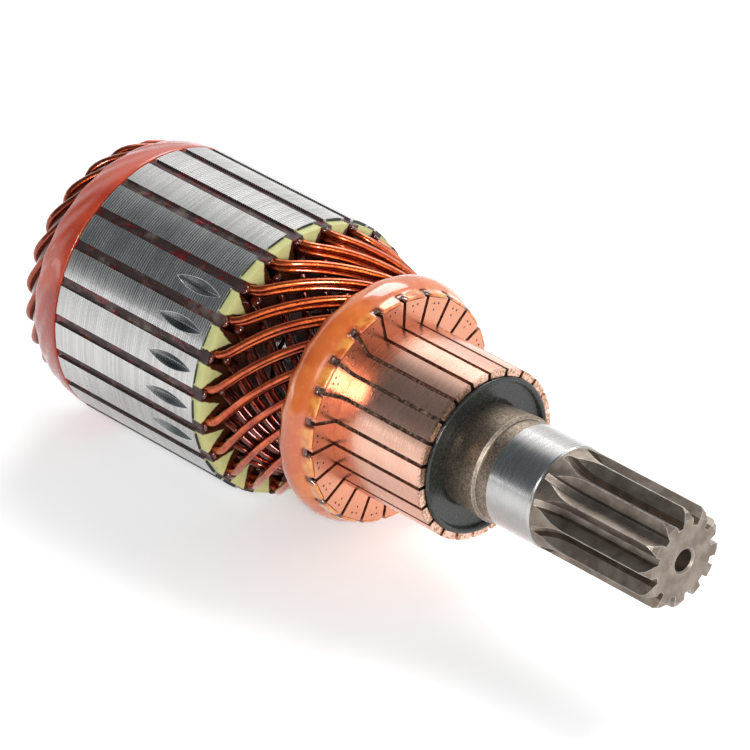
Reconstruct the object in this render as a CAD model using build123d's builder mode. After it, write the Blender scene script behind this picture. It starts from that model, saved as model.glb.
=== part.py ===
from build123d import *
import math
import os

# Motor armature, in millimetres. The shaft lies along X with its pinion at +X,
# and the origin is the centre of the front bearing seat.

# Stack of laminations
slot_count = 23
slot_phase = 79.0  # angle of the first slot about X, from +Y towards +Z
stack_radius = 27.0
stack_length = 37.0
slot_width = 2.3
slot_opening = 1.9
slot_lip = 0.5
notch_teeth = (3, 4, 5, 6, 7)
notch_length = 11.5
notch_width = 2.8
notch_depth = 0.9
notch_from_edge = 6.6

# Fibre end plates
plate_thickness = 1.8
plate_inset = 0.4
plate_bore_radius = 9.2
rear_plate_thickness = 0.6

# Slot wedges
wedge_thickness = 0.5
wedge_overhang = 0.3
slot_clearance = 0.02

# Coils: two round wires, one above the other, drawn as one bar
wire_diameter = 1.45
wires_in_side = 2
coil_span = 6
lead_shift = 3
lead_steps = 2
coil_roof_gap = 0.1
coil_floor_gap = 0.3
slot_layer_gap = 0.75
riser_layer_gap = 0.5
knuckle_layer_gap = 0.5
slot_exit = 1.0
riser_entry = 1.0
lead_end_gap = 0.15
lead_run = 20.76
end_turn_overhang = 12.6
end_turn_drop = 1.3
knuckle_half_angle = 3.0

# Rings of resin, varnish and moulding have two flats to each slot
flat_count_per_slot = 2

# Varnish band over the rear end turns
band_length = 7.7
band_front_thickness = 0.72
band_rear_thickness = 0.37
band_gap = 0.1

# Commutator
barrel_radius = 16.46
barrel_length = 21.8
riser_thickness = 5.5
riser_radius = 21.6
riser_front_wall = 1.6
riser_lead_depth = 1.55
bar_floor_radius = 12.0
grip_length = 3.0
mica_thickness = 0.75
mica_undercut = 0.8
lead_slot_clearance = 0.06
hub_radius = 15.1
hub_projection = 0.65
hub_lip_width = 1.1
hub_dish_depth = 1.3
hub_rear_length = 3.0

# Resin bead round the riser
bead_height = 2.25
bead_crown_behind = 5.1
bead_gap = 0.1
bead_tail = 3.4
bead_tail_drop = 0.9
bead_shoulder_behind = 1.5
bead_shoulder_drop = 0.65
bead_edge = 0.3

# Shaft
seat_diameter = 20.0
seat_length = 10.7
seat_chamfer = 0.3
groove_width = 2.54
groove_diameter = 19.2
collar_length = 6.7
collar_front_diameter = 20.8
collar_rear_diameter = 19.6
collar_rim = 0.5
core_diameter = 17.0
fit_clearance = 0.01
rear_seat_diameter = 12.0
rear_seat_length = 11.0
rear_chamfer = 0.8
centre_hole_radius = 2.15
centre_hole_depth = 3.6
centre_hole_break = 0.35
drill_point_angle = 118.0

# Pinion cut in the shaft
tooth_count = 12
gear_module = 1.35
profile_shift = 0.27
pressure_angle = 20.0
tooth_phase = 23.5  # angle of a tooth about X, from +Y towards +Z
pinion_neck = 0.6
pinion_length = 27.6
cutter_radius = 11.4
tooth_end_length = 1.7
tooth_end_break = 0.7
tooth_end_drop = 1.7
tooth_end_first_drop = 0.6
root_fillet = 0.3

# Places along the shaft
seat_front = seat_length / 2
seat_rear = -seat_length / 2
collar_front = seat_rear - groove_width
hub_front = collar_front - collar_length
collar_rear = hub_front - hub_dish_depth
barrel_front = hub_front - hub_projection
riser_front = barrel_front - barrel_length
riser_rear = riser_front - riser_thickness
stack_front = riser_rear - lead_run
stack_rear = stack_front - stack_length
plate_front = stack_front + plate_thickness
plate_rear = stack_rear - rear_plate_thickness
end_turn_rear = stack_rear - end_turn_overhang
rear_seat_front = end_turn_rear
shaft_rear = rear_seat_front - rear_seat_length
pinion_rear = seat_front + pinion_neck
pinion_front = pinion_rear + pinion_length

# Radii of the two coil layers in the slots and at the riser
slot_pitch = 360 / slot_count
layer_height = wires_in_side * wire_diameter
wedge_top = stack_radius - slot_lip
wedge_floor = wedge_top - wedge_thickness
top_radius = wedge_floor - coil_roof_gap - layer_height / 2
bottom_radius = top_radius - layer_height - slot_layer_gap
slot_floor_radius = bottom_radius - layer_height / 2 - coil_floor_gap
riser_lead_radius = riser_radius - riser_lead_depth
riser_bottom_radius = riser_lead_radius - layer_height - riser_layer_gap
knuckle_top_radius = top_radius - end_turn_drop
knuckle_bottom_radius = knuckle_top_radius - layer_height - knuckle_layer_gap
knuckle_place = end_turn_rear + wire_diameter / 2
pocket_end = riser_front - riser_front_wall
plate_radius = stack_radius - plate_inset
core_radius = core_diameter / 2
seat_radius = seat_diameter / 2


def at(x, radius, angle):
    """Point at a place along the shaft, a radius and an angle about X."""
    turn = math.radians(angle)
    return Vector(x, radius * math.cos(turn), radius * math.sin(turn))


def facet(*corners):
    """Flat face through its corner points."""
    return Face(Wire.make_polygon(corners, close=True))


def turned(piece, angle):
    """Copy of a piece made at the top of the shaft, turned to an angle about X."""
    return piece.rotate(Axis.X, angle - 90)


os.makedirs("parts", exist_ok=True)

# Shaft blank: rear seat, core, collar, ground seat and pinion blank in one turning
pitch_radius = gear_module * tooth_count / 2
tip_radius = pitch_radius + gear_module * (1 + profile_shift)
root_radius = pitch_radius - gear_module * (1.25 - profile_shift)
rear_radius = rear_seat_diameter / 2
groove_radius = groove_diameter / 2
blank_outline = [
    (shaft_rear, 0),
    (shaft_rear, rear_radius - rear_chamfer),
    (shaft_rear + rear_chamfer, rear_radius),
    (rear_seat_front, rear_radius),
    (rear_seat_front, core_radius),
    (collar_rear, core_radius),
    (collar_rear, collar_rear_diameter / 2),
    (collar_front - collar_rim, collar_front_diameter / 2),
    (collar_front, collar_front_diameter / 2 - collar_rim),
    (collar_front, groove_radius),
    (seat_rear, groove_radius),
    (seat_rear + seat_chamfer, seat_radius),
    (seat_front - seat_chamfer, seat_radius),
    (seat_front, tip_radius),
    (pinion_front - tooth_end_length, tip_radius),
    (pinion_front - tooth_end_break, tip_radius - tooth_end_first_drop),
    (pinion_front, tip_radius - tooth_end_drop),
    (pinion_front, 0),
]

# Involute tooth spaces; each one ends in the round run-out of its cutter
base_radius = pitch_radius * math.cos(math.radians(pressure_angle))
space_radius = tip_radius + 0.8
tooth_depth = tip_radius - root_radius
run_out_length = math.sqrt(2 * cutter_radius * tooth_depth - tooth_depth ** 2)
run_out_start = pinion_rear + run_out_length


def involute(angle):
    """Involute function: tangent of the pressure angle minus the angle itself."""
    return math.tan(angle) - angle


shift_width = 2 * profile_shift * math.tan(math.radians(pressure_angle))
tooth_thickness = gear_module * (math.pi / 2 + shift_width)
tooth_half_angle = tooth_thickness / (2 * pitch_radius) + involute(math.radians(pressure_angle))


def flank_point(radius):
    """Point of a tooth space's flank at a radius, with the space centred on +Y."""
    curve = involute(math.acos(base_radius / radius))
    from_space = math.pi / tooth_count - (tooth_half_angle - curve)
    return (radius * math.sin(from_space), radius * math.cos(from_space))


flank = [flank_point(base_radius + step) for step in (0.4, space_radius - base_radius)]
root_corner = (flank[0][0] - root_fillet, root_radius)
space_side = [root_corner] + flank
space_outline = space_side + [(-x, y) for x, y in reversed(space_side)]
run_out_plane = Plane(origin=(run_out_start, 0, 0), x_dir=(0, 1, 0), z_dir=(1, 0, 0))
cutter_axis = Axis((run_out_start, 0, root_radius + cutter_radius), (0, 1, 0))

with BuildPart() as tooth_space:
    with BuildSketch(run_out_plane) as space_section:
        with BuildLine() as space_line:
            Polyline(*space_outline, close=True)
        make_face()
    extrude(amount=pinion_front - run_out_start + 1)
    revolve(space_section.sketch, axis=cutter_axis, revolution_arc=60)

with BuildPart() as shaft:
    with BuildSketch(Plane.XZ) as blank_section:
        with BuildLine() as blank_line:
            Polyline(*blank_outline, close=True)
        make_face()
    revolve(axis=Axis.X)
    for tooth in range(tooth_count):
        gap_angle = tooth_phase + (tooth + 0.5) * 360 / tooth_count
        add(turned(tooth_space.part, gap_angle), mode=Mode.SUBTRACT)
    with BuildSketch(Plane.XZ) as centre_section:
        with BuildLine() as centre_line:
            point_depth = centre_hole_radius / math.tan(math.radians(drill_point_angle / 2))
            Polyline(
                (pinion_front, 0),
                (pinion_front, centre_hole_radius + centre_hole_break),
                (pinion_front - centre_hole_break, centre_hole_radius),
                (pinion_front - centre_hole_depth, centre_hole_radius),
                (pinion_front - centre_hole_depth - point_depth, 0),
                close=True,
            )
        make_face()
    revolve(axis=Axis.X, mode=Mode.SUBTRACT)
shaft.part.label = "shaft"
export_step(shaft.part, "parts/shaft.step")

# Disc cutter with a ridged edge, which leaves a balance notch pointed at both ends
cutter_reach = (notch_length ** 2 / 4 + notch_depth ** 2) / (2 * notch_depth)
edge_slope = notch_width / 2 / notch_depth
with BuildPart() as notch_cutter:
    with BuildSketch(Plane.XZ) as cutter_section:
        with BuildLine() as cutter_line:
            Polyline(
                (cutter_reach, 0),
                (cutter_reach - notch_width, notch_width * edge_slope),
                (cutter_reach - notch_width, -notch_width * edge_slope),
                close=True,
            )
        make_face()
    revolve(axis=Axis.Z)

# Lamination stack: slots with a narrower mouth, and balance notches in five teeth
with BuildPart() as lamination_stack:
    with BuildSketch(Plane.YZ.offset(stack_rear)) as stack_section:
        Circle(stack_radius)
        Circle(core_radius + fit_clearance, mode=Mode.SUBTRACT)
        with PolarLocations(0, slot_count, start_angle=slot_phase):
            with Locations(((slot_floor_radius + wedge_top) / 2, 0)):
                Rectangle(wedge_top - slot_floor_radius, slot_width, mode=Mode.SUBTRACT)
            with Locations((stack_radius, 0)):
                Rectangle(2 * slot_lip + 0.2, slot_opening, mode=Mode.SUBTRACT)
    extrude(amount=stack_length)
    for tooth in notch_teeth:
        tooth_angle = slot_phase + (tooth + 0.5) * slot_pitch
        axis_radius = stack_radius - notch_depth + cutter_reach
        cutter_centre = at(stack_front - notch_from_edge, axis_radius, tooth_angle)
        with Locations(Plane(cutter_centre, x_dir=(1, 0, 0), z_dir=at(0, 1, tooth_angle + 90))):
            add(notch_cutter.part, mode=Mode.SUBTRACT)
lamination_stack.part.label = "lamination_stack"
export_step(lamination_stack.part, "parts/lamination_stack.step")

# Fibre end plates, one against each end of the stack
plate_slot_width = slot_width + 2 * slot_clearance
plate_slot_floor = slot_floor_radius - slot_clearance
plates = (
    ("front_end_plate", stack_front, plate_thickness),
    ("rear_end_plate", plate_rear, rear_plate_thickness),
)
for name, place, thickness in plates:
    with BuildPart() as end_plate:
        with BuildSketch(Plane.YZ.offset(place)) as plate_section:
            RegularPolygon(plate_radius, slot_count, rotation=slot_phase)
            RegularPolygon(plate_bore_radius, slot_count, rotation=slot_phase, mode=Mode.SUBTRACT)
            with PolarLocations(0, slot_count, start_angle=slot_phase):
                with Locations(((plate_slot_floor + stack_radius) / 2, 0)):
                    Rectangle(stack_radius - plate_slot_floor, plate_slot_width, mode=Mode.SUBTRACT)
        extrude(amount=thickness)
    end_plate.part.label = name
    export_step(end_plate.part, f"parts/{name}.step")

# Slot wedges: a strip that closes every slot under its mouth
with BuildPart() as slot_wedges:
    with BuildSketch(Plane.YZ.offset(stack_rear - wedge_overhang)) as wedge_section:
        with PolarLocations(0, slot_count, start_angle=slot_phase):
            with Locations((wedge_floor + wedge_thickness / 2, 0)):
                Rectangle(wedge_thickness - slot_clearance, slot_width - 2 * slot_clearance)
    extrude(amount=stack_length + plate_thickness + 2 * wedge_overhang)
slot_wedges.part.label = "slot_wedges"
export_step(slot_wedges.part, "parts/slot_wedges.step")

# One coil, from a commutator bar through its two slots and back to a second bar
exit_front = plate_front + slot_exit
exit_rear = plate_rear - slot_exit
entry_place = riser_rear - riser_entry
lead_end = pocket_end - lead_end_gap
lead_sweep = lead_shift * slot_pitch


def between(first, last, share):
    """Value part of the way from one number to another."""
    return first + (last - first) * share


def front_lead(slot_radius, riser_radius_here, slot_angle, bar_angle):
    """Stations of a lead from a slot to its bar: places, radii and angles."""
    stations = [(exit_front, slot_radius, slot_angle)]
    for step in range(1, lead_steps):
        share = step / lead_steps
        stations.append((
            between(exit_front, entry_place, share),
            between(slot_radius, riser_radius_here, share),
            between(slot_angle, bar_angle, share),
        ))
    stations.append((entry_place, riser_radius_here, bar_angle))
    stations.append((lead_end, riser_radius_here, bar_angle))
    return stations


def rear_turn(slot_radius, knuckle_radius, slot_angle, knuckle_angle):
    """Stations of an end turn from a slot to the knuckle of its coil."""
    middle = (
        between(exit_rear, knuckle_place, 0.5),
        between(slot_radius, knuckle_radius, 0.5),
        between(slot_angle, knuckle_angle, 0.5),
    )
    return [(exit_rear, slot_radius, slot_angle), middle, (knuckle_place, knuckle_radius, knuckle_angle)]


near_slot = slot_phase
far_slot = slot_phase + coil_span * slot_pitch
knuckle_angle = slot_phase + coil_span / 2 * slot_pitch
path = front_lead(top_radius, riser_lead_radius, near_slot, near_slot - lead_sweep)[::-1]
path += rear_turn(top_radius, knuckle_top_radius, near_slot, knuckle_angle - knuckle_half_angle)
path += rear_turn(bottom_radius, knuckle_bottom_radius, far_slot, knuckle_angle + knuckle_half_angle)[::-1]
path += front_lead(bottom_radius, riser_bottom_radius, far_slot, far_slot + lead_sweep)


def coil_corners(index):
    """Corners of the coil's section at one station, square to the path there."""
    before = at(*path[max(index - 1, 0)])
    here = at(*path[index])
    after = at(*path[min(index + 1, len(path) - 1)])
    arriving = (here - before).normalized() if index > 0 else (after - here).normalized()
    leaving = (after - here).normalized() if index < len(path) - 1 else arriving
    along = (arriving + leaving).normalized()
    outward = at(0, 1, path[index][2])
    outward = (outward - along * outward.dot(along)).normalized()
    sideways = along.cross(outward) * (wire_diameter / 2 / math.sqrt((1 + arriving.dot(leaving)) / 2))
    outward = outward * (layer_height / 2)
    return [here + sideways + outward, here - sideways + outward,
            here - sideways - outward, here + sideways - outward]


sections = [coil_corners(index) for index in range(len(path))]
coil_faces = [facet(*reversed(sections[0])), facet(*sections[-1])]
for first, second in zip(sections, sections[1:]):
    for corner in range(4):
        beside = (corner + 1) % 4
        coil_faces.append(facet(first[corner], first[beside], second[beside]))
        coil_faces.append(facet(first[corner], second[beside], second[corner]))
coil_solid = Solid(Shell(coil_faces))

for number in range(1, slot_count + 1):
    with BuildPart() as coil:
        add(coil_solid.rotate(Axis.X, (number - 1) * slot_pitch))
    coil.part.label = f"coil_{number:02d}"
    export_step(coil.part, f"parts/coil_{number:02d}.step")

# One commutator bar: a wedge with flat floor and top, turned down to its barrel,
# sloped under its front end for the hub's grip, and slotted at the back for two leads
side_gap = mica_thickness / 2 + fit_clearance
half_pitch = math.radians(slot_pitch / 2)
wedge_apex = side_gap / math.sin(half_pitch)
floor_half_width = (bar_floor_radius - wedge_apex) * math.tan(half_pitch)
top_half_width = (riser_radius - wedge_apex) * math.tan(half_pitch)
grip_front = barrel_front - grip_length
lead_slot_width = wire_diameter + 2 * lead_slot_clearance
lead_slot_floor = riser_bottom_radius - layer_height / 2 - lead_slot_clearance
with BuildPart() as bar_one:
    with BuildSketch(Plane.YZ.offset(riser_rear)) as bar_wedge:
        with BuildLine() as wedge_line:
            Polyline(
                (floor_half_width, bar_floor_radius),
                (top_half_width, riser_radius),
                (-top_half_width, riser_radius),
                (-floor_half_width, bar_floor_radius),
                close=True,
            )
        make_face()
    extrude(amount=barrel_front - riser_rear)
    with BuildSketch(Plane.XZ) as grip_section:
        with BuildLine() as grip_line:
            Polyline(
                (grip_front, bar_floor_radius),
                (barrel_front, hub_radius + fit_clearance),
                (barrel_front, bar_floor_radius),
                close=True,
            )
        make_face()
    extrude(amount=riser_radius, both=True, mode=Mode.SUBTRACT)
    with BuildSketch(Plane.XZ) as turned_section:
        with Locations(((riser_front + barrel_front) / 2, barrel_radius + riser_radius / 2)):
            Rectangle(barrel_length, riser_radius)
    revolve(axis=Axis.X, mode=Mode.SUBTRACT)
    with BuildSketch(Plane.YZ.offset(riser_rear)) as lead_slot:
        with Locations((0, (lead_slot_floor + riser_radius + 1) / 2)):
            Rectangle(lead_slot_width, riser_radius + 1 - lead_slot_floor)
    extrude(amount=pocket_end - riser_rear, mode=Mode.SUBTRACT)

for number in range(1, slot_count + 1):
    with BuildPart() as bar:
        add(turned(bar_one.part, slot_phase + (number - 1) * slot_pitch))
    bar.part.label = f"bar_{number:02d}"
    export_step(bar.part, f"parts/bar_{number:02d}.step")

# Mica between the bars, cut back below the barrel and behind the riser's face
mica_floor = bar_floor_radius / math.cos(half_pitch) + fit_clearance
mica_outline = [
    (riser_rear, mica_floor),
    (riser_rear, riser_radius - mica_undercut),
    (riser_front - mica_undercut, riser_radius - mica_undercut),
    (riser_front - mica_undercut, barrel_radius - mica_undercut),
    (barrel_front - mica_undercut, barrel_radius - mica_undercut),
    (grip_front, mica_floor),
]
with BuildPart() as mica_one:
    with BuildSketch(Plane.XZ) as mica_section:
        with BuildLine() as mica_line:
            Polyline(*mica_outline, close=True)
        make_face()
    extrude(amount=mica_thickness / 2, both=True)
with BuildPart() as mica_segments:
    for number in range(slot_count):
        add(turned(mica_one.part, slot_phase + (number + 0.5) * slot_pitch))
mica_segments.part.label = "mica_segments"
export_step(mica_segments.part, "parts/mica_segments.step")


def flat_ring(place_one, radius_one, place_two, radius_two, side_count):
    """Many-sided frustum whose flats stand at one radius at each of its two places."""
    rims = []
    for place, radius in ((place_one, radius_one), (place_two, radius_two)):
        corner_radius = radius / math.cos(math.pi / side_count)
        angles = [slot_phase + (side + 0.5) * 360 / side_count for side in range(side_count)]
        rims.append([at(place, corner_radius, angle) for angle in angles])
    faces = [facet(*rims[0]), facet(*rims[1])]
    for side in range(side_count):
        beside = (side + 1) % side_count
        faces.append(facet(rims[0][side], rims[0][beside], rims[1][beside], rims[1][side]))
    return Solid(Shell(faces))


# Moulded hub: it fills the flat floors and sloped ends of the bars, with a lip at the front
ring_sides = flat_count_per_slot * slot_count
hub_body_radius = bar_floor_radius - fit_clearance
hub_rear = riser_rear - hub_rear_length
hub_lip_inside = hub_radius - hub_lip_width
with BuildPart() as commutator_hub:
    add(flat_ring(hub_rear, hub_body_radius, grip_front, hub_body_radius, slot_count))
    add(flat_ring(grip_front, hub_body_radius, barrel_front, hub_radius, slot_count))
    add(flat_ring(barrel_front, hub_radius, hub_front, hub_radius, ring_sides))
    add(flat_ring(collar_rear, hub_lip_inside, hub_front, hub_lip_inside, ring_sides), mode=Mode.SUBTRACT)
    with BuildSketch(Plane.YZ.offset(hub_rear)) as hub_bore:
        Circle(core_radius + fit_clearance)
    extrude(amount=hub_front - hub_rear, mode=Mode.SUBTRACT)
commutator_hub.part.label = "commutator_hub"
export_step(commutator_hub.part, "parts/commutator_hub.step")

# Resin bead over the lead ends, seated on the flat tops of the bars
lead_slope = (top_radius - riser_lead_radius) / (entry_place - exit_front)
bead_seat = riser_radius + fit_clearance
bead_radius = riser_radius + bead_height
bead_crown = riser_front - bead_crown_behind
bead_shoulder = riser_front - bead_shoulder_behind
bead_rear = bead_crown - bead_tail
bead_shoulder_radius = bead_radius - bead_shoulder_drop
lead_room = bead_seat + bead_gap + (entry_place - bead_rear) * lead_slope
with BuildPart() as riser_bead:
    add(flat_ring(bead_rear, bead_radius - bead_tail_drop, bead_crown, bead_radius, ring_sides))
    add(flat_ring(bead_crown, bead_radius, bead_shoulder, bead_shoulder_radius, ring_sides))
    add(flat_ring(bead_shoulder, bead_shoulder_radius, riser_front, bead_seat + bead_edge, ring_sides))
    add(flat_ring(bead_rear, bead_seat, riser_front, bead_seat, slot_count), mode=Mode.SUBTRACT)
    add(flat_ring(bead_rear, lead_room, entry_place, bead_seat, slot_count), mode=Mode.SUBTRACT)
riser_bead.part.label = "riser_bead"
export_step(riser_bead.part, "parts/riser_bead.step")

# Varnish band round the rear end turns, close behind the rear plate
band_front = plate_rear - fit_clearance
band_rear = stack_rear - band_length
turn_slope = end_turn_drop / (exit_rear - knuckle_place)
turn_outside = top_radius + layer_height / 2 + band_gap
inside_front = turn_outside + (band_front - exit_rear) * turn_slope
inside_rear = turn_outside - (exit_rear - band_rear) * turn_slope
with BuildPart() as rear_band:
    add(flat_ring(
        band_front, inside_front + band_front_thickness,
        band_rear, inside_rear + band_rear_thickness, ring_sides,
    ))
    add(flat_ring(band_front, inside_front, band_rear, inside_rear, ring_sides), mode=Mode.SUBTRACT)
rear_band.part.label = "rear_band"
export_step(rear_band.part, "parts/rear_band.step")
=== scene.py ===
# %% [markdown]
# # A motor armature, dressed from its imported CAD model
#
# The armature is the turning half of a small universal motor: a steel stack wound with enamelled
# copper wire, a commutator of copper bars, and a shaft that ends in a pinion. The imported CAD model
# comes in first, as a frame that nothing here moves. Where a solid already has the true form it
# only gets a finish. Wires, resin and varnish are soft, rounded things, so they get surfaces of
# their own, made with numpy and set exactly where the frame says.

import math

import bpy
import numpy as np
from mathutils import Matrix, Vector


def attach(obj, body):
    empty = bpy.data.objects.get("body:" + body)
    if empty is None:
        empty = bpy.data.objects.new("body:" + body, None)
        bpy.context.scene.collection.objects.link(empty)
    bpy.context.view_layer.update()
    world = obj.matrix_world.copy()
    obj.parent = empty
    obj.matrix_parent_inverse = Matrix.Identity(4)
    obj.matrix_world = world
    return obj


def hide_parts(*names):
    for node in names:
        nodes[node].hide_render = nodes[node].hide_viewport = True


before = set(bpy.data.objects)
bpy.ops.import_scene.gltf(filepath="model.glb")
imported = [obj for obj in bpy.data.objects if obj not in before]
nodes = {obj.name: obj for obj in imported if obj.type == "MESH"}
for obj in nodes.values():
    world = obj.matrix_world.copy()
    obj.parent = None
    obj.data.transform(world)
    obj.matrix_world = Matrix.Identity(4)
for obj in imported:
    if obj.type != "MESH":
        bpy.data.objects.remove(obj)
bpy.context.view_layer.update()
MM = 0.001
print("nodes:", len(nodes))

# %% [markdown]
# ## Camera
#
# The photograph looks down on the part from its pinion end, from about 31 degrees above the floor.
# A long lens from 1.1 m away keeps the near and far ends almost the same size, as in the picture.
# The direction is written as a vector and turned into a rotation, so the camera has no roll.

# %% Camera
CAMERA_PLACE = Vector((0.6199, -0.6394, 0.5539))
VIEW_DIRECTION = Vector((-0.6184, 0.5960, -0.5122))
LENS, SENSOR_WIDTH = 285.2, 36.0
NEAREST_SEEN = 0.05
camera_data = bpy.data.cameras.new("camera")
camera_data.lens = LENS
camera_data.sensor_width = SENSOR_WIDTH
camera_data.clip_start = NEAREST_SEEN
camera = bpy.data.objects.new("camera", camera_data)
camera.location = CAMERA_PLACE
camera.rotation_euler = VIEW_DIRECTION.to_track_quat("-Z", "Y").to_euler()
bpy.context.scene.collection.objects.link(camera)
bpy.context.scene.camera = camera
bpy.context.scene.view_settings.view_transform = "Standard"
print("camera", tuple(round(value, 3) for value in camera.location))

# %% [markdown]
# ## Sizes shared with the solids
#
# These few sizes, in millimetres and degrees, are needed all through the script. The shaft lies
# along X, the pinion points to +X, and angles turn about X from +Y towards +Z. The first slot's
# middle stands at the phase angle, and so does the first bar's. Sizes that only one piece or
# finish needs are given with it.

# %% Sizes
SLOTS = 23
PITCH = 360.0 / SLOTS
SLOT_PHASE = 79.0
STACK_RADIUS = 27.0
RISER_FRONT = -37.04
print("pitch", round(PITCH, 3), "degrees")

# %% [markdown]
# ## Helpers for surfaces
#
# A smooth piece here is a grid of points: one number runs along it, the other round it. The helper
# turns such a grid into a mesh in one go, closes it where it should be closed, and keeps a UV map
# whose two numbers are those same two, so that a finish can follow the surface.

# %% Helpers for surfaces
def around(x, radius, angle):
    """Points at places x along the shaft, at a radius and an angle in degrees about X:
    y is radius times cosine, z is radius times sine."""
    turn = np.radians(angle)
    x, y, z = np.broadcast_arrays(x, radius * np.cos(turn), radius * np.sin(turn))
    return np.stack([x, y, z], axis=-1)


def grid_faces(rows, columns, wrap_rows, wrap_columns):
    """Corner numbers of the quads between neighbouring rows and columns of a grid."""
    row = np.arange(rows if wrap_rows else rows - 1)
    column = np.arange(columns if wrap_columns else columns - 1)
    row, column = np.meshgrid(row, column, indexing="ij")
    next_row, next_column = (row + 1) % rows, (column + 1) % columns
    corners = [row * columns + column, row * columns + next_column,
               next_row * columns + next_column, next_row * columns + column]
    return np.stack(corners, axis=-1).reshape(-1, 4)


def surface(name, parts, wrap_rows=False, wrap_columns=False, caps=False, flip=False):
    """Mesh object from one or more grids of points in millimetres, each shaped rows, columns, 3.
    With caps, the first and last rows are closed with one face each; flip turns all faces round,
    for a profile that runs the other way and would face inwards."""
    points, faces, uvs = [], [], []
    start = 0
    for grid in parts:
        rows, columns = grid.shape[:2]
        quads = grid_faces(rows, columns, wrap_rows, wrap_columns)
        if flip:
            quads = quads[:, ::-1]
        row_of, column_of = quads // columns, quads % columns
        along = row_of / max(rows - 1, 1)
        across = column_of / columns
        across = np.where(across.max(axis=1, keepdims=True) - across > 0.5, across + 1, across)
        points.append(grid.reshape(-1, 3))
        faces += (quads + start).tolist()
        uvs.append(np.stack([along, across], axis=-1).reshape(-1, 2))
        if caps:
            ends = [np.arange(columns)[::-1], np.arange(columns) + (rows - 1) * columns]
            for end in ends:
                ring = end[::-1] if flip else end
                faces.append((ring + start).tolist())
                uvs.append(np.full((columns, 2), 0.5))
        start += rows * columns
    mesh = bpy.data.meshes.new(name)
    mesh.from_pydata(np.concatenate(points) * MM, [], faces)
    layer = mesh.uv_layers.new(name="UVMap")
    layer.data.foreach_set("uv", np.concatenate(uvs).astype(np.float32).ravel())
    mesh.polygons.foreach_set("use_smooth", np.ones(len(mesh.polygons), bool))
    mesh.update()
    piece = bpy.data.objects.new(name, mesh)
    bpy.context.scene.collection.objects.link(piece)
    return piece


def finish_piece(piece, material, replaced=()):
    """Gives a new piece its finish and its body, and hides the nodes it stands for."""
    piece.data.materials.append(material)
    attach(piece, "root")
    if replaced:
        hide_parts(*replaced)
    print(piece.name, len(piece.data.polygons), "faces")


def carried_round(places, radii, angles):
    """Grids of place, radius and angle for a profile of places and radii carried to each angle."""
    place, angle = np.meshgrid(places, angles, indexing="ij")
    radius = np.repeat(radii[:, None], len(angles), axis=1)
    return place, radius, angle


def smoothed(values, passes):
    """Rounds the corners of a polyline: each pass puts a quarter of each neighbour into every
    inner value and keeps the ends."""
    for _ in range(passes):
        inner = values[:-2] / 4 + values[1:-1] / 2 + values[2:] / 4
        values = np.concatenate([values[:1], inner, values[-1:]])
    return values


print("surface helpers ready")

# %% [markdown]
# ## Helpers for materials
#
# A material is a small network of nodes. Typing each one out would bury the idea, so one helper
# makes a node, fills in its inputs and joins the ones that are given as sockets. The rest are the
# few sums that a finish is made of. A mask is a number from 0 to 1 that says where something is:
# above an edge, below an edge, or where two masks overlap.

# %% Helpers for materials
def put(tree, kind, inputs=None, **settings):
    """Adds a node, sets its settings, and fills or joins its inputs by name or number."""
    node = tree.nodes.new("ShaderNode" + kind)
    for key, value in settings.items():
        setattr(node, key, value)
    for key, value in (inputs or {}).items():
        if isinstance(value, bpy.types.NodeSocket):
            tree.links.new(value, node.inputs[key])
        else:
            node.inputs[key].default_value = value
    return node


def maths(tree, operation, first, second=0.0):
    """Output of a Math node."""
    return put(tree, "Math", {0: first, 1: second}, operation=operation).outputs[0]


def noise(tree, place, scale, detail):
    """Cloudy pattern from 0 to 1 over a place in metres; a larger scale makes smaller clouds."""
    return put(tree, "TexNoise", {"Vector": place, "Scale": scale, "Detail": detail}).outputs[0]


def blend(tree, share, first, second):
    """Colour that goes from the first to the second as the share goes from 0 to 1."""
    node = put(tree, "Mix", {0: share, 6: first, 7: second}, data_type="RGBA")
    return node.outputs[2]


def ramp(tree, value, low, high, to_low=0.0, to_high=1.0):
    """Value taken smoothly from one range to another, held at both ends."""
    node = put(tree, "MapRange", {0: value, 1: low, 2: high, 3: to_low, 4: to_high},
               interpolation_type="SMOOTHSTEP")
    return node.outputs[0]


def above(tree, value, edge, softness):
    """Mask that is 1 where a value lies above an edge and 0 below it."""
    return ramp(tree, value, edge - softness / 2, edge + softness / 2)


def below(tree, value, edge, softness):
    """Mask that is 1 where a value lies below an edge and 0 above it."""
    return ramp(tree, value, edge + softness / 2, edge - softness / 2)


def both(tree, first, second):
    """Overlap of two masks, which is their product."""
    return maths(tree, "MULTIPLY", first, second)


def colour(red, green, blue):
    """Linear colour from the three numbers of 0 to 255 that a screen shows."""
    shares = np.array([red, green, blue]) / 255
    linear = np.where(shares <= 0.04045, shares / 12.92, ((shares + 0.055) / 1.055) ** 2.4)
    return (*linear.tolist(), 1.0)


def new_group(name, inputs, outputs):
    """Empty node group with named inputs and outputs, as (name, kind, value) and (name, kind)."""
    tree = bpy.data.node_groups.new(name, "ShaderNodeTree")
    for label, kind, value in inputs:
        socket = tree.interface.new_socket(label, in_out="INPUT", socket_type="NodeSocket" + kind)
        if value is not None:
            socket.default_value = value
    for label, kind in outputs:
        tree.interface.new_socket(label, in_out="OUTPUT", socket_type="NodeSocket" + kind)
    entry = tree.nodes.new("NodeGroupInput")
    leave = tree.nodes.new("NodeGroupOutput")
    return tree, entry.outputs, leave.inputs


def use_group(tree, group, inputs=None):
    """Places a node group in a material and returns its outputs."""
    return put(tree, "Group", inputs, node_tree=group).outputs


def new_material(name):
    """Material with its node tree, its Principled shader and the object coordinates to read."""
    material = bpy.data.materials.new(name)
    material.use_nodes = True
    tree = material.node_tree
    shader = tree.nodes["Principled BSDF"]
    coordinates = put(tree, "TexCoord").outputs["Object"]
    return material, tree, shader, coordinates


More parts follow.
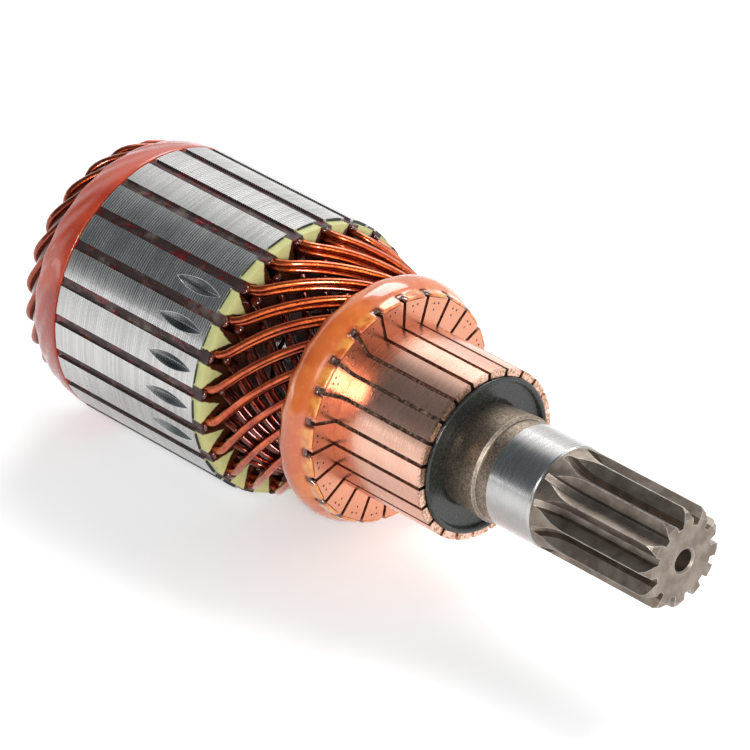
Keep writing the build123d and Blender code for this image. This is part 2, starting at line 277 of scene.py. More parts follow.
def join(tree, **inputs):
    """Joins sockets to a Principled shader's inputs; names use _ for a space."""
    shader = tree.nodes["Principled BSDF"]
    for key, socket in inputs.items():
        tree.links.new(socket, shader.inputs[key.replace("_", " ")])


def bump(tree, height, distance, strength=1.0, normal=None):
    """Normal output of a Bump node; the distance is in millimetres."""
    inputs = {"Height": height, "Distance": distance * MM, "Strength": strength}
    if normal is not None:
        inputs["Normal"] = normal
    return put(tree, "Bump", inputs).outputs[0]


print("material helpers ready")

# %% [markdown]
# ## The shaft's own numbers
#
# Most marks on a turned part follow its axis, so this first node group turns object coordinates
# into plain numbers: the place along the shaft in millimetres, the radius in millimetres, and the
# share of one slot pitch. That share comes as Side, with its sign, from -0.5 to 0.5, and as Turn,
# without it. Both are 0 at the middle of a slot or bar and a half midway to the next.

# %% Group for the shaft's numbers
shaft_numbers, source, result = new_group(
    "shaft numbers", [("Vector", "Vector", None)],
    [("Place", "Float"), ("Radius", "Float"), ("Turn", "Float"), ("Side", "Float")])
axes = put(shaft_numbers, "SeparateXYZ", {0: source["Vector"]}).outputs
square = maths(shaft_numbers, "ADD", maths(shaft_numbers, "MULTIPLY", axes[1], axes[1]),
               maths(shaft_numbers, "MULTIPLY", axes[2], axes[2]))
radius_metres = maths(shaft_numbers, "SQRT", square)
angle = maths(shaft_numbers, "ARCTAN2", axes[2], axes[1])
from_first = maths(shaft_numbers, "SUBTRACT", angle, math.radians(SLOT_PHASE))
pitches = maths(shaft_numbers, "DIVIDE", from_first, math.radians(PITCH))
counted = maths(shaft_numbers, "ADD", pitches, 2.0 * SLOTS + 0.5)
side = maths(shaft_numbers, "SUBTRACT", maths(shaft_numbers, "FRACT", counted), 0.5)
links = shaft_numbers.links
links.new(maths(shaft_numbers, "DIVIDE", axes[0], MM), result["Place"])
links.new(maths(shaft_numbers, "DIVIDE", radius_metres, MM), result["Radius"])
links.new(maths(shaft_numbers, "ABSOLUTE", side), result["Turn"])
links.new(side, result["Side"])
print(shaft_numbers.name, "gives", [socket.name for socket in result if socket.name])

# %% [markdown]
# ## Worn edges and turned lines
#
# Handling and grinding leave an edge bare and bright. The second group finds edges by comparing
# the surface's direction with that of a slightly rounded copy: where the two differ, an edge is
# near. The third makes the fine rings of a lathe or a grinding wheel, which are clouds squeezed
# along the shaft and drawn out around it.

# %% Groups for worn edges and turned lines
SAME_DIRECTION, OTHER_DIRECTION = 0.995, 0.90
AROUND_SCALE = 0.03
edge_wear, source, result = new_group(
    "edge wear", [("Width", "Float", 0.2), ("Vector", "Vector", None)], [("Wear", "Float")])
edge_radius = maths(edge_wear, "MULTIPLY", source["Width"], MM)
rounded = put(edge_wear, "Bevel", {"Radius": edge_radius}, samples=4).outputs[0]
flat = put(edge_wear, "NewGeometry").outputs["Normal"]
likeness = put(edge_wear, "VectorMath", {0: rounded, 1: flat}, operation="DOT_PRODUCT").outputs["Value"]
patches = noise(edge_wear, source["Vector"], 900.0, 3.0)
bare = ramp(edge_wear, likeness, SAME_DIRECTION, OTHER_DIRECTION)
edge_wear.links.new(both(edge_wear, bare, ramp(edge_wear, patches, 0.25, 0.5)), result["Wear"])

turned_lines, source, result = new_group(
    "turned lines", [("Vector", "Vector", None), ("Spacing", "Float", 0.1)], [("Height", "Float")])
drawn_out = {"Vector": source["Vector"], "Scale": (1.0, AROUND_SCALE, AROUND_SCALE)}
stretched = put(turned_lines, "Mapping", drawn_out).outputs[0]
fineness = maths(turned_lines, "DIVIDE", 1 / MM, source["Spacing"])
turned_lines.links.new(noise(turned_lines, stretched, fineness, 2.0), result["Height"])
print("groups:", [group.name for group in bpy.data.node_groups])

# %% [markdown]
# ## Stack steel
#
# The stack is some sixty punched sheets, ground true on the outside. Each sheet's edge shows as a
# hair line, and no two sheets catch the light alike. The line is a groove repeated along the
# shaft, and the sheet's number picks a slightly different grey. Nothing is carved for it. A line
# is rougher than the ground steel beside it, which is what makes it show in a reflection.

# %% Stack steel
SHEET = 0.55
LINE_HALF, LINE_SOFTNESS = 0.125, 0.15  # shares of a sheet
LINE_ROUGHNESS = 0.30
stack_steel, tree, shader, place = new_material("ground stack steel")
shaft = use_group(tree, shaft_numbers, {"Vector": place})
sheet_count = maths(tree, "DIVIDE", shaft["Place"], SHEET)
sheet_number = maths(tree, "FLOOR", sheet_count)
from_line = maths(tree, "PINGPONG", sheet_count, 0.5)
sheet_grey = put(tree, "TexWhiteNoise", {"W": sheet_number}, noise_dimensions="1D").outputs["Value"]
wavy = noise(tree, place, 160.0, 2.0)
line = both(tree, below(tree, from_line, LINE_HALF, LINE_SOFTNESS), ramp(tree, wavy, 0.35, 0.65, 0.5, 1.0))
grey = blend(tree, sheet_grey, colour(178, 177, 176), colour(196, 195, 194))
rings = use_group(tree, turned_lines, {"Vector": place, "Spacing": 0.12})["Height"]
ground_finish = ramp(tree, rings, 0.3, 0.7, 0.20, 0.27)
join(tree, Roughness=maths(tree, "ADD", ground_finish, both(tree, line, LINE_ROUGHNESS)))
shader.inputs["Metallic"].default_value = 1.0
print(stack_steel.name, "pitch", SHEET, "mm")

# %% [markdown]
# ## Notches, edges and slot walls of the stack
#
# The balance notches are milled hollows, darker towards their front, as the photograph shows.
# The steel's edges are a little brighter. Inside the slot mouths the steel is
# brown with varnish. Masks made of the radius and of the share of the pitch tell these apart. The
# hollow of a notch is softened by a rounded copy of its surface, so that it shades as one curve.

# %% Notches, edges and slot walls of the stack
NOTCH_RADIUS, NOTCH_TURN = STACK_RADIUS - 0.05, 0.23
NOTCH_REAR, NOTCH_FRONT = -76.0, -68.5
WALL_RADIUS, WALL_TURN = STACK_RADIUS - 0.465, 0.195
HOLLOW_ROUNDING = 1.3
fresh = use_group(tree, edge_wear, {"Width": 0.25, "Vector": place})["Wear"]
notched = both(tree, below(tree, shaft["Radius"], NOTCH_RADIUS, 0.04),
               above(tree, shaft["Turn"], NOTCH_TURN, 0.04))
# painted shade: the milled notch hollows are painted dark grey, more strongly towards their front
notch_painted_shade = ramp(tree, shaft["Place"], NOTCH_REAR, NOTCH_FRONT, 0.40, 1.0)
grey = blend(tree, both(tree, notched, notch_painted_shade), grey, colour(68, 73, 76))
grey = blend(tree, both(tree, fresh, 0.6), grey, colour(225, 225, 225))
inside = both(tree, below(tree, shaft["Radius"], WALL_RADIUS, 0.17),
              below(tree, shaft["Turn"], WALL_TURN, 0.03))
join(tree, Base_Color=blend(tree, inside, grey, colour(60, 28, 24)))
marks = maths(tree, "SUBTRACT", both(tree, rings, 0.03), line)
hollow = put(tree, "Bevel", {"Radius": HOLLOW_ROUNDING * MM}, samples=6).outputs[0]
plain = put(tree, "NewGeometry").outputs["Normal"]
softened = put(tree, "Mix", {0: notched, 4: plain, 5: hollow}, data_type="VECTOR").outputs[1]
join(tree, Normal=bump(tree, marks, 0.006, normal=softened))
nodes["lamination_stack"].data.materials[0] = stack_steel
print(stack_steel.name, "on the stack")

# %% [markdown]
# ## Glass fibre end plates
#
# The end plates are yellow-green glass fibre board. Varnish from the slots has soaked in and left
# a pale, dry triangle on each tooth, widest at the rim and with its point towards the shaft. The
# triangle comes from two shares: how far a spot is from the tooth's middle, and how high it is up
# the tooth.

# %% Glass fibre end plates
RIM_HALF_WIDTH = 0.33
POINT_RADIUS, POINT_HEIGHT = 21.7, 4.9
end_fibre, tree, shader, place = new_material("glass fibre board")
shaft = use_group(tree, shaft_numbers, {"Vector": place})
mottle = noise(tree, place, 700.0, 5.0)
weave = noise(tree, place, 3500.0, 3.0)
board = blend(tree, mottle, colour(186, 186, 118), colour(214, 212, 152))
from_middle = maths(tree, "DIVIDE", maths(tree, "SUBTRACT", 0.5, shaft["Turn"]), RIM_HALF_WIDTH)
up_tooth = maths(tree, "DIVIDE", maths(tree, "SUBTRACT", shaft["Radius"], POINT_RADIUS), POINT_HEIGHT)
uneven = both(tree, maths(tree, "SUBTRACT", mottle, 0.5), 0.3)
past_edge = maths(tree, "ADD", maths(tree, "SUBTRACT", from_middle, up_tooth), uneven)
soaked = ramp(tree, past_edge, -0.06, 0.08)
join(tree, Base_Color=blend(tree, soaked, board, colour(66, 30, 16)))
join(tree, Roughness=ramp(tree, soaked, 0.0, 1.0, 0.55, 0.2), Coat_Weight=soaked)
join(tree, Normal=bump(tree, weave, 0.05))
shader.inputs["Coat Roughness"].default_value = 0.06
for name in ("front_end_plate", "rear_end_plate"):
    nodes[name].data.materials[0] = end_fibre
print(end_fibre.name, "on two plates")

# %% [markdown]
# ## Varnish on the slot wedges
#
# The wedges that close the slots are drowned in dark red-brown varnish, which dries in blobs drawn out
# along the slot. Its darkest brown also stands for the shade in the slot grooves, so it is partly painted
# shade. It is glossy where it is thick and matt, with some grey grime, where it isn't.

# %% Varnish on the slot wedges
ALONG_SCALE = 0.35
slot_varnish_and_shade, tree, shader, place = new_material("dark slot varnish with painted shade")
stretched = put(tree, "Mapping", {"Vector": place, "Scale": (ALONG_SCALE, 1.0, 1.0)}).outputs[0]
lumps = noise(tree, stretched, 900.0, 3.0)
# the darkest brown is partly painted shade of the slot grooves, on top of the varnish's own red-brown
red = blend(tree, ramp(tree, lumps, 0.5, 0.72), colour(46, 26, 24), colour(112, 20, 28))
grime = noise(tree, place, 260.0, 4.0)
join(tree, Base_Color=blend(tree, ramp(tree, grime, 0.52, 0.75), red, colour(104, 92, 84)))
join(tree, Roughness=ramp(tree, lumps, 0.4, 0.65, 0.55, 0.15), Normal=bump(tree, lumps, 0.35))
nodes["slot_wedges"].data.materials[0] = slot_varnish_and_shade
print(slot_varnish_and_shade.name)

# %% [markdown]
# ## Undercut mica
#
# The mica between the copper bars is cut back below them, so brushes don't ride on it. The groove
# fills with brown dust, which leaves a few pale grains.

# %% Undercut mica
mica_dirt, tree, shader, place = new_material("undercut mica")
grain = noise(tree, place, 1800.0, 4.0)
join(tree, Base_Color=blend(tree, ramp(tree, grain, 0.4, 0.75), colour(46, 24, 16), colour(150, 128, 108)))
join(tree, Normal=bump(tree, grain, 0.15))
shader.inputs["Roughness"].default_value = 0.6
nodes["mica_segments"].data.materials[0] = mica_dirt
print(mica_dirt.name)

# %% [markdown]
# ## Shaft steel
#
# One bar of steel carries four finishes: a sand-coloured, unground collar, the bright ground
# bearing seat, the browner heat-treated pinion, and plain ground steel at the back. They differ
# only along the shaft, so the place along it chooses the colour and the roughness.

# %% Shaft steel
COLLAR_REAR, COLLAR_FRONT = -16.3, -5.25
PINION_REAR = 5.45
shaft_steel, tree, shader, place = new_material("shaft steel")
shaft = use_group(tree, shaft_numbers, {"Vector": place})
grain = noise(tree, place, 2600.0, 5.0)
cloud = noise(tree, place, 320.0, 3.0)
rings = use_group(tree, turned_lines, {"Vector": place, "Spacing": 0.16})["Height"]
wear = use_group(tree, edge_wear, {"Width": 0.25, "Vector": place})["Wear"]
rough_collar = both(tree, above(tree, shaft["Place"], COLLAR_REAR, 0.2),
                    below(tree, shaft["Place"], COLLAR_FRONT, 0.2))
toothed = above(tree, shaft["Place"], PINION_REAR, 0.3)
ground = blend(tree, cloud, colour(172, 171, 170), colour(196, 195, 194))
collar = blend(tree, ramp(tree, grain, 0.3, 0.7), colour(112, 100, 88), colour(168, 154, 138))
pinion = blend(tree, ramp(tree, cloud, 0.35, 0.65), colour(122, 110, 100), colour(148, 137, 126))
pinion = blend(tree, ramp(tree, grain, 0.62, 0.8), pinion, colour(84, 72, 62))
steel = blend(tree, toothed, blend(tree, rough_collar, ground, collar), pinion)
join(tree, Base_Color=blend(tree, both(tree, wear, 0.7), steel, colour(228, 224, 218)))
matt = maths(tree, "ADD", both(tree, rough_collar, 0.24), both(tree, toothed, 0.20))
join(tree, Roughness=maths(tree, "ADD", ramp(tree, rings, 0.3, 0.7, 0.20, 0.31), matt))
height = maths(tree, "ADD", both(tree, rings, 0.07), both(tree, grain, both(tree, matt, 2.5)))
join(tree, Normal=bump(tree, height, 0.03))
shader.inputs["Metallic"].default_value = 1.0
nodes["shaft"].data.materials[0] = shaft_steel
print(shaft_steel.name)

# %% [markdown]
# ## Commutator copper
#
# The bars are bare drawn copper, turned after assembly. The barrel keeps fine rings from the
# lathe, the riser's flat front is duller, and the copper is stained near the riser and tinned at
# its front end. All of these depend on the place along the shaft.

# %% Commutator copper
RISER_EDGE = RISER_FRONT + 0.215
STAIN_START, STAIN_FULL = -30.0, -34.5
TINNED_EDGE = -15.8
bar_copper, tree, shader, place = new_material("commutator copper")
shaft = use_group(tree, shaft_numbers, {"Vector": place})
grain = noise(tree, place, 2200.0, 4.0)
cloud = noise(tree, place, 260.0, 3.0)
rings = use_group(tree, turned_lines, {"Vector": place, "Spacing": 0.10})["Height"]
wear = use_group(tree, edge_wear, {"Width": 0.12, "Vector": place})["Wear"]
riser_face = below(tree, shaft["Place"], RISER_EDGE, 0.25)
copper = blend(tree, cloud, colour(226, 172, 150), colour(240, 196, 176))
riser = blend(tree, grain, colour(204, 144, 118), colour(226, 166, 140))
copper = blend(tree, riser_face, copper, riser)
stained = both(tree, ramp(tree, shaft["Place"], STAIN_START, STAIN_FULL), ramp(tree, grain, 0.40, 0.62))
copper = blend(tree, both(tree, stained, 0.3), copper, colour(214, 118, 74))
tinned = both(tree, above(tree, shaft["Place"], TINNED_EDGE, 0.8), ramp(tree, grain, 0.42, 0.6))
copper = blend(tree, both(tree, tinned, 0.8), copper, colour(126, 110, 84))
copper = blend(tree, both(tree, wear, 0.6), copper, colour(250, 214, 190))
join(tree, Roughness=ramp(tree, rings, 0.3, 0.7, 0.24, 0.34))
shader.inputs["Metallic"].default_value = 1.0
print(bar_copper.name)

# %% [markdown]
# ## Staking dots
#
# Each bar's riser carries a few small punched dots where the leads were staked. They are drawn from the
# shaft's numbers: a spot is a small distance from a chosen radius and from a chosen length of arc beside
# the bar's middle. A dot sinks in and is painted darker than the copper, as painted shade in its dimple.

# %% Staking dots
DOTS = ((20.6, -0.45, 0.26), (20.5, 0.75, 0.24), (19.3, 0.35, 0.22))
DOT_DEPTH = 3.0
arc = both(tree, both(tree, shaft["Side"], math.radians(PITCH)), shaft["Radius"])
dots = None
for dot_radius, dot_side, dot_size in DOTS:
    up = maths(tree, "POWER", maths(tree, "SUBTRACT", shaft["Radius"], dot_radius), 2.0)
    beside = maths(tree, "POWER", maths(tree, "SUBTRACT", arc, dot_side), 2.0)
    far = maths(tree, "SQRT", maths(tree, "ADD", up, beside))
    dot = ramp(tree, far, dot_size, dot_size * 0.5)
    dots = dot if dots is None else maths(tree, "MAXIMUM", dots, dot)
dots = both(tree, dots, riser_face)
# painted shade: each punched dot is painted dark brown in its dimple, besides sinking in through the bump
join(tree, Base_Color=blend(tree, dots, copper, colour(74, 30, 18)))
height = maths(tree, "SUBTRACT", both(tree, rings, 0.04), both(tree, dots, DOT_DEPTH))
join(tree, Normal=bump(tree, height, 0.06))
for number in range(1, SLOTS + 1):
    nodes[f"bar_{number:02d}"].data.materials[0] = bar_copper
print(bar_copper.name, "on", SLOTS, "bars,", len(DOTS), "dots each")

# %% [markdown]
# ## Enamelled wire
#
# Winding wire is copper under a clear, reddish enamel, so it is a metal with a tinted coat. Where varnish
# has soaked in it is darker. The lower layer of leads lies in the shade of the upper one and drank more
# varnish, so its darker colour is painted shade as well as varnish; the turns behind the stack drank more
# varnish too. The lower layer is told by a radius that falls with the place, because the leads rise towards
# the stack.

# %% Enamelled wire
LEAD_RISE = 0.17
LOWER_LAYER_EDGE = 13.0
LOWER_LAYER_REAR = -63.0
REAR_TURNS_START, REAR_TURNS_FULL = -103.0, -107.0
wire_enamel, tree, shader, place = new_material("enamelled copper wire")
shaft = use_group(tree, shaft_numbers, {"Vector": place})
cloud = noise(tree, place, 240.0, 2.0)
runs = noise(tree, place, 1300.0, 3.0)
copper = blend(tree, ramp(tree, cloud, 0.35, 0.65), colour(186, 88, 38), colour(218, 120, 58))
soaked = both(tree, ramp(tree, runs, 0.50, 0.72), 0.6)
copper = blend(tree, soaked, copper, colour(110, 30, 16))
levelled = maths(tree, "ADD", shaft["Radius"], both(tree, shaft["Place"], LEAD_RISE))
# painted shade and varnish: the lower layer is painted darker for the upper layer's shade and for the
# varnish it drank
lower_layer_shade_and_varnish = both(tree, below(tree, levelled, LOWER_LAYER_EDGE, 1.2),
                   above(tree, shaft["Place"], LOWER_LAYER_REAR, 2.0))
copper = blend(tree, lower_layer_shade_and_varnish, copper, colour(104, 38, 20))
rear_turns = both(tree, ramp(tree, shaft["Place"], REAR_TURNS_START, REAR_TURNS_FULL), 0.75)
join(tree, Base_Color=blend(tree, rear_turns, copper, colour(112, 42, 20)))
join(tree, Roughness=ramp(tree, runs, 0.3, 0.7, 0.26, 0.42), Normal=bump(tree, runs, 0.05))
shader.inputs["Metallic"].default_value = 1.0
shader.inputs["Coat Weight"].default_value = 0.8
shader.inputs["Coat Roughness"].default_value = 0.07
shader.inputs["Coat IOR"].default_value = 1.55
shader.inputs["Coat Tint"].default_value = (0.92, 0.55, 0.42, 1.0)
print(wire_enamel.name)

# %% [markdown]
# ## Bead resin
#
# The bead is cast resin: a warm orange that lets some light in, which is what subsurface scattering is for.
# It looks gold where it is thin over the bar ends, and that gold between the pockets is partly painted
# highlight. The pocket at each gap between two bars is painted brown as painted shade, and the bead is
# darker at the back, where it meets the wires. A clear coat gives the wet shine.

# %% Bead resin
GOLD_RADIUS, GOLD_TURN, GOLD_REAR = 22.85, 0.29, -38.9
POCKET_RADIUS, POCKET_TURN, POCKET_REAR = 23.0, 0.3625, -38.9
BEAD_BACK = -45.1
resin, tree, shader, place = new_material("bead resin")
shaft = use_group(tree, shaft_numbers, {"Vector": place})
cloud = noise(tree, place, 150.0, 3.0)
fleck = noise(tree, place, 600.0, 4.0)
amber = blend(tree, ramp(tree, cloud, 0.35, 0.65), colour(192, 88, 36), colour(212, 116, 52))
# gold over the bar ends between the pockets: thin resin over copper, and partly painted highlight
gold_thin_and_highlight = both(tree, below(tree, shaft["Radius"], GOLD_RADIUS, 0.9),
            below(tree, shaft["Turn"], GOLD_TURN, 0.14))
gold_thin_and_highlight = both(tree, gold_thin_and_highlight, above(tree, shaft["Place"], GOLD_REAR, 1.2))
amber = blend(tree, both(tree, gold_thin_and_highlight, ramp(tree, fleck, 0.3, 0.6)), amber, colour(226, 152, 70))
# painted shade: the pocket at each gap between two bars is painted dark brown
pocket_shade = both(tree, below(tree, shaft["Radius"], POCKET_RADIUS, 0.3),
              above(tree, shaft["Turn"], POCKET_TURN, 0.035))
pocket_shade = both(tree, pocket_shade, above(tree, shaft["Place"], POCKET_REAR, 1.0))
amber = blend(tree, below(tree, shaft["Place"], BEAD_BACK, 1.0), amber, colour(120, 44, 24))
join(tree, Base_Color=blend(tree, pocket_shade, amber, colour(78, 44, 36)))
join(tree, Roughness=ramp(tree, fleck, 0.3, 0.8, 0.20, 0.32), Normal=bump(tree, cloud, 0.10))
shader.inputs["Subsurface Weight"].default_value = 0.35
shader.inputs["Subsurface Scale"].default_value = 0.0012
shader.inputs["Subsurface Radius"].default_value = (1.0, 0.4, 0.15)
shader.inputs["Coat Weight"].default_value = 1.0
shader.inputs["Coat Roughness"].default_value = 0.04
print(resin.name)

# %% [markdown]
# ## Red band varnish
#
# The band behind the stack is the same idea in red: thick varnish in slow clouds of two reds, with
# a few pale flecks and a softer shine.

# %% Red band varnish
red_varnish, tree, shader, place = new_material("red band varnish")
cloud = noise(tree, place, 60.0, 2.0)
fleck = noise(tree, place, 500.0, 4.0)
red = blend(tree, ramp(tree, cloud, 0.40, 0.62), colour(154, 38, 18), colour(188, 72, 42))
join(tree, Base_Color=blend(tree, ramp(tree, fleck, 0.6, 0.85), red, colour(200, 98, 70)))
join(tree, Roughness=ramp(tree, fleck, 0.3, 0.8, 0.24, 0.40), Normal=bump(tree, cloud, 0.2))
shader.inputs["Subsurface Weight"].default_value = 0.2
shader.inputs["Subsurface Scale"].default_value = 0.001
shader.inputs["Subsurface Radius"].default_value = (1.0, 0.3, 0.15)
shader.inputs["Coat Weight"].default_value = 0.5
shader.inputs["Coat Roughness"].default_value = 0.06
print(red_varnish.name)

# %% [markdown]
# ## Wet varnish and black moulding
#
# Varnish that gathered in drops and between the end turns is nearly black-brown and looks wet, so
# it has a full coat. The commutator's hub is black moulding compound with a soft gloss and a few
# grey flecks of its filler.

# %% Wet varnish and black moulding
wet_varnish, tree, shader, place = new_material("wet slot varnish")
cloud = noise(tree, place, 700.0, 2.0)
join(tree, Base_Color=blend(tree, cloud, colour(48, 16, 10), colour(110, 40, 20)))
join(tree, Roughness=ramp(tree, cloud, 0.3, 0.7, 0.08, 0.16))
shader.inputs["Coat Weight"].default_value = 1.0
shader.inputs["Coat Roughness"].default_value = 0.03

black_moulding, tree, shader, place = new_material("black moulding compound")
fleck = noise(tree, place, 1500.0, 4.0)
join(tree, Base_Color=blend(tree, ramp(tree, fleck, 0.55, 0.8), colour(30, 34, 32), colour(66, 70, 66)))
join(tree, Roughness=ramp(tree, fleck, 0.3, 0.7, 0.18, 0.32), Normal=bump(tree, fleck, 0.02))
print(wet_varnish.name, "and", black_moulding.name)

# %% [markdown]
# ## The path of a coil
#
# A coil leaves a bar, sweeps over three slots' width to the stack, runs through its slot, fans out
# behind the stack, dips to the lower layer at the knuckle, and comes back by the slot six further
# on. The path is a short list of stations, given as place, radius and angle. Points between them
# are spread evenly, then smoothed, which rounds each bend. A little random drift, seeded by the
# coil's number, stops the coils from looking stamped.

# %% The path of a coil
LEAD_END, ENTRY = -38.79, -43.54
EXIT_FRONT, EXIT_REAR = -60.50, -101.90
KNUCKLE, KNUCKLE_HALF = -112.175, 3.0
TOP_RADIUS, BOTTOM_RADIUS = 24.45, 20.80
LEAD_TOP_RADIUS, LEAD_BOTTOM_RADIUS = 20.05, 16.65
KNUCKLE_TOP_RADIUS, KNUCKLE_BOTTOM_RADIUS = 23.15, 19.75
COIL_SPAN = 6 * PITCH
LEAD_SHIFT = 3 * PITCH
DRIFT = (0.0, 0.12, 0.35)
BEND_PASSES = 6
LEAD_SHARES = np.linspace(0, 1, 5)
SWEEP_SHARES = np.linspace(0, 1, 24)
SLOT_SHARES = np.array([0, 0.025, 0.05, 0.5, 0.95, 0.975, 1])
REAR_SHARES = np.linspace(0, 1, 18)
BEND_SHARES = np.linspace(0, 1, 5)


def coil_line(number):
    """Places, radii and angles along a coil, evenly spaced on every leg and then smoothed."""
    near = SLOT_PHASE + (number - 1) * PITCH
    far = near + COIL_SPAN
    top = near + COIL_SPAN / 2
    start = near - LEAD_SHIFT
    end = far + LEAD_SHIFT
    stations = np.array([
        (LEAD_END, LEAD_TOP_RADIUS, start), (ENTRY, LEAD_TOP_RADIUS, start),
        (EXIT_FRONT, TOP_RADIUS, near), (EXIT_REAR, TOP_RADIUS, near),
        (KNUCKLE, KNUCKLE_TOP_RADIUS, top - KNUCKLE_HALF),
        (KNUCKLE, KNUCKLE_BOTTOM_RADIUS, top + KNUCKLE_HALF),
        (EXIT_REAR, BOTTOM_RADIUS, far), (EXIT_FRONT, BOTTOM_RADIUS, far),
        (ENTRY, LEAD_BOTTOM_RADIUS, end), (LEAD_END, LEAD_BOTTOM_RADIUS, end),
    ])
    shares = [LEAD_SHARES, SWEEP_SHARES, SLOT_SHARES, REAR_SHARES, BEND_SHARES,
              REAR_SHARES, SLOT_SHARES, SWEEP_SHARES, LEAD_SHARES]
    random = np.random.default_rng(number)
    legs = []
    for first, last, share in zip(stations, stations[1:], shares):
        leg = first + (last - first) * share[:, None]
        if share is SWEEP_SHARES:
            drift = random.normal(0, DRIFT)
            leg += drift * np.sin(np.pi * share)[:, None] ** 2
        legs.append(leg[:-1])
    return smoothed(np.concatenate(legs + [stations[-1:]]), BEND_PASSES)


print("points along a coil:", len(coil_line(1)))

# %% [markdown]
# ## The winding
#
# Each of the 23 coils is two round wires, one above the other, on the same path. A ring of points
# carried along the path makes a wire. The ring stands square to the wire's direction, which is
# found from the points before and after. Both ends of a wire are closed, inside the bars.

# %% The winding
WIRE = 1.45
WIRE_SIDES = 10
WIRE_GAP = 0.02


def wire(line, lift):
    """Tube of WIRE_SIDES points round a line: the ring lies across the line's direction, and the
    whole wire is lifted away from the shaft by a distance at right angles to that direction."""
    x, radius, angle = line.T
    centre = around(x, radius, angle)
    along = np.gradient(centre, axis=0)
    along /= np.linalg.norm(along, axis=1, keepdims=True)
    outward = around(np.zeros_like(x), np.ones_like(x), angle)
    outward -= along * (outward * along).sum(axis=1, keepdims=True)
    outward /= np.linalg.norm(outward, axis=1, keepdims=True)
    sideways = np.cross(along, outward)
    centre = centre + outward * lift
    turn = np.linspace(0, 2 * np.pi, WIRE_SIDES, endpoint=False)
    ring = np.cos(turn)[:, None] * outward[:, None] + np.sin(turn)[:, None] * sideways[:, None]
    return centre[:, None] + ring * (WIRE / 2 - WIRE_GAP)


for number in range(1, SLOTS + 1):
    line = coil_line(number)
    wires = [wire(line, WIRE / 2), wire(line, -WIRE / 2)]
    coil = surface(f"coil_wires_{number:02d}", wires, wrap_columns=True, caps=True)
    finish_piece(coil, wire_enamel, [f"coil_{number:02d}"])

# %% [markdown]
# ## Rounded rings
#
# Resin and varnish that run round a turning part set as rounded rings. Each ring starts as a
# profile with few corners. Points are added between the corners and the outline is smoothed, which
# rounds it, and the outline is carried round the shaft.

# %% Rounded rings
def closed_profile(profile, repeats=4, passes=3):
    """Closed outline with points added evenly between its corners and then smoothed round the loop."""
    following = np.roll(profile, -1, axis=0)
    share = np.arange(repeats) / repeats
    points = (profile[:, None] + (following - profile)[:, None] * share[None, :, None]).reshape(-1, 2)
    for _ in range(passes):
        points = np.roll(points, 1, axis=0) / 4 + points / 2 + np.roll(points, -1, axis=0) / 4
    return points


def full_turn(steps):
    """Angles of a full turn in degrees, with a number of steps to each slot pitch."""
    return np.arange(SLOTS * steps) * 360 / (SLOTS * steps)


def step(values, low, high):
    """Smooth step from 0 at low to 1 at high; low may be the larger of the two."""
    share = np.clip((values - low) / (high - low), 0, 1)
    return share * share * (3 - 2 * share)


print("a turn in steps:", len(full_turn(20)))

# %% [markdown]
# ## Resin bead round the riser
#
# Resin was run round the ends of the leads and bulges into a smooth ring. Its profile is given
# behind the riser's front and starts on the riser's rim. Its front stops a little short at every
# gap between two bars, which leaves the row of dark pockets in the photograph, and its back edge
# sinks between the leads.

# %% Resin bead
BEAD_PROFILE = np.array([
    (0.00, 21.62), (-0.03, 21.95), (-0.25, 22.25), (-0.8, 22.36), (-1.4, 22.42), (-1.85, 22.52),
    (-2.2, 22.76), (-2.6, 23.06), (-3.1, 23.36), (-4.0, 23.71), (-5.04, 23.86), (-6.1, 23.72),
    (-7.0, 23.34), (-7.75, 22.8), (-8.25, 22.3), (-8.48, 21.8), (-8.3, 21.1), (-7.6, 20.4),
    (-6.6, 20.0), (-5.6, 20.0), (-5.52, 20.8), (-5.5, 21.62), (-3.0, 21.62),
])
BEAD_STEPS = 20
FRONT_PLACES, FRONT_RADII = (-39.0, -38.2), (22.95, 22.6)
POCKET_DEPTH, POCKET_SIDES = 1.2, (0.15, 0.09)
TAIL_PLACES, TAIL_RADIUS, TAIL_DIP = (-43.0, -45.0), 21.0, 0.35
outline = closed_profile(BEAD_PROFILE)
angles = full_turn(BEAD_STEPS) + SLOT_PHASE
x, radius, angle = carried_round(RISER_FRONT + outline[:, 0], outline[:, 1], angles)
from_gap = np.abs((angle - SLOT_PHASE) / PITCH % 1 - 0.5)
front = step(x, *FRONT_PLACES) * step(radius, *FRONT_RADII)
x = x - POCKET_DEPTH * front * step(from_gap, *POCKET_SIDES)
tail = step(x, *TAIL_PLACES) * (radius > TAIL_RADIUS)
radius = radius - TAIL_DIP * tail * (0.5 + 0.5 * np.cos(2 * np.pi * (from_gap + 0.5)))
bead = surface("resin_bead", [around(x, radius, angle)], wrap_rows=True, wrap_columns=True, flip=True)
finish_piece(bead, resin, ["riser_bead"])

# %% [markdown]
# ## Varnish band behind the stack
#
# A wide ring of red varnish holds the rear end turns. It is the bead's idea again: a closed profile
# carried round. The end turns lie under it at a slant, so its skin rises and falls in slanted waves,
# one to each slot, growing towards the back where the varnish is thinner.

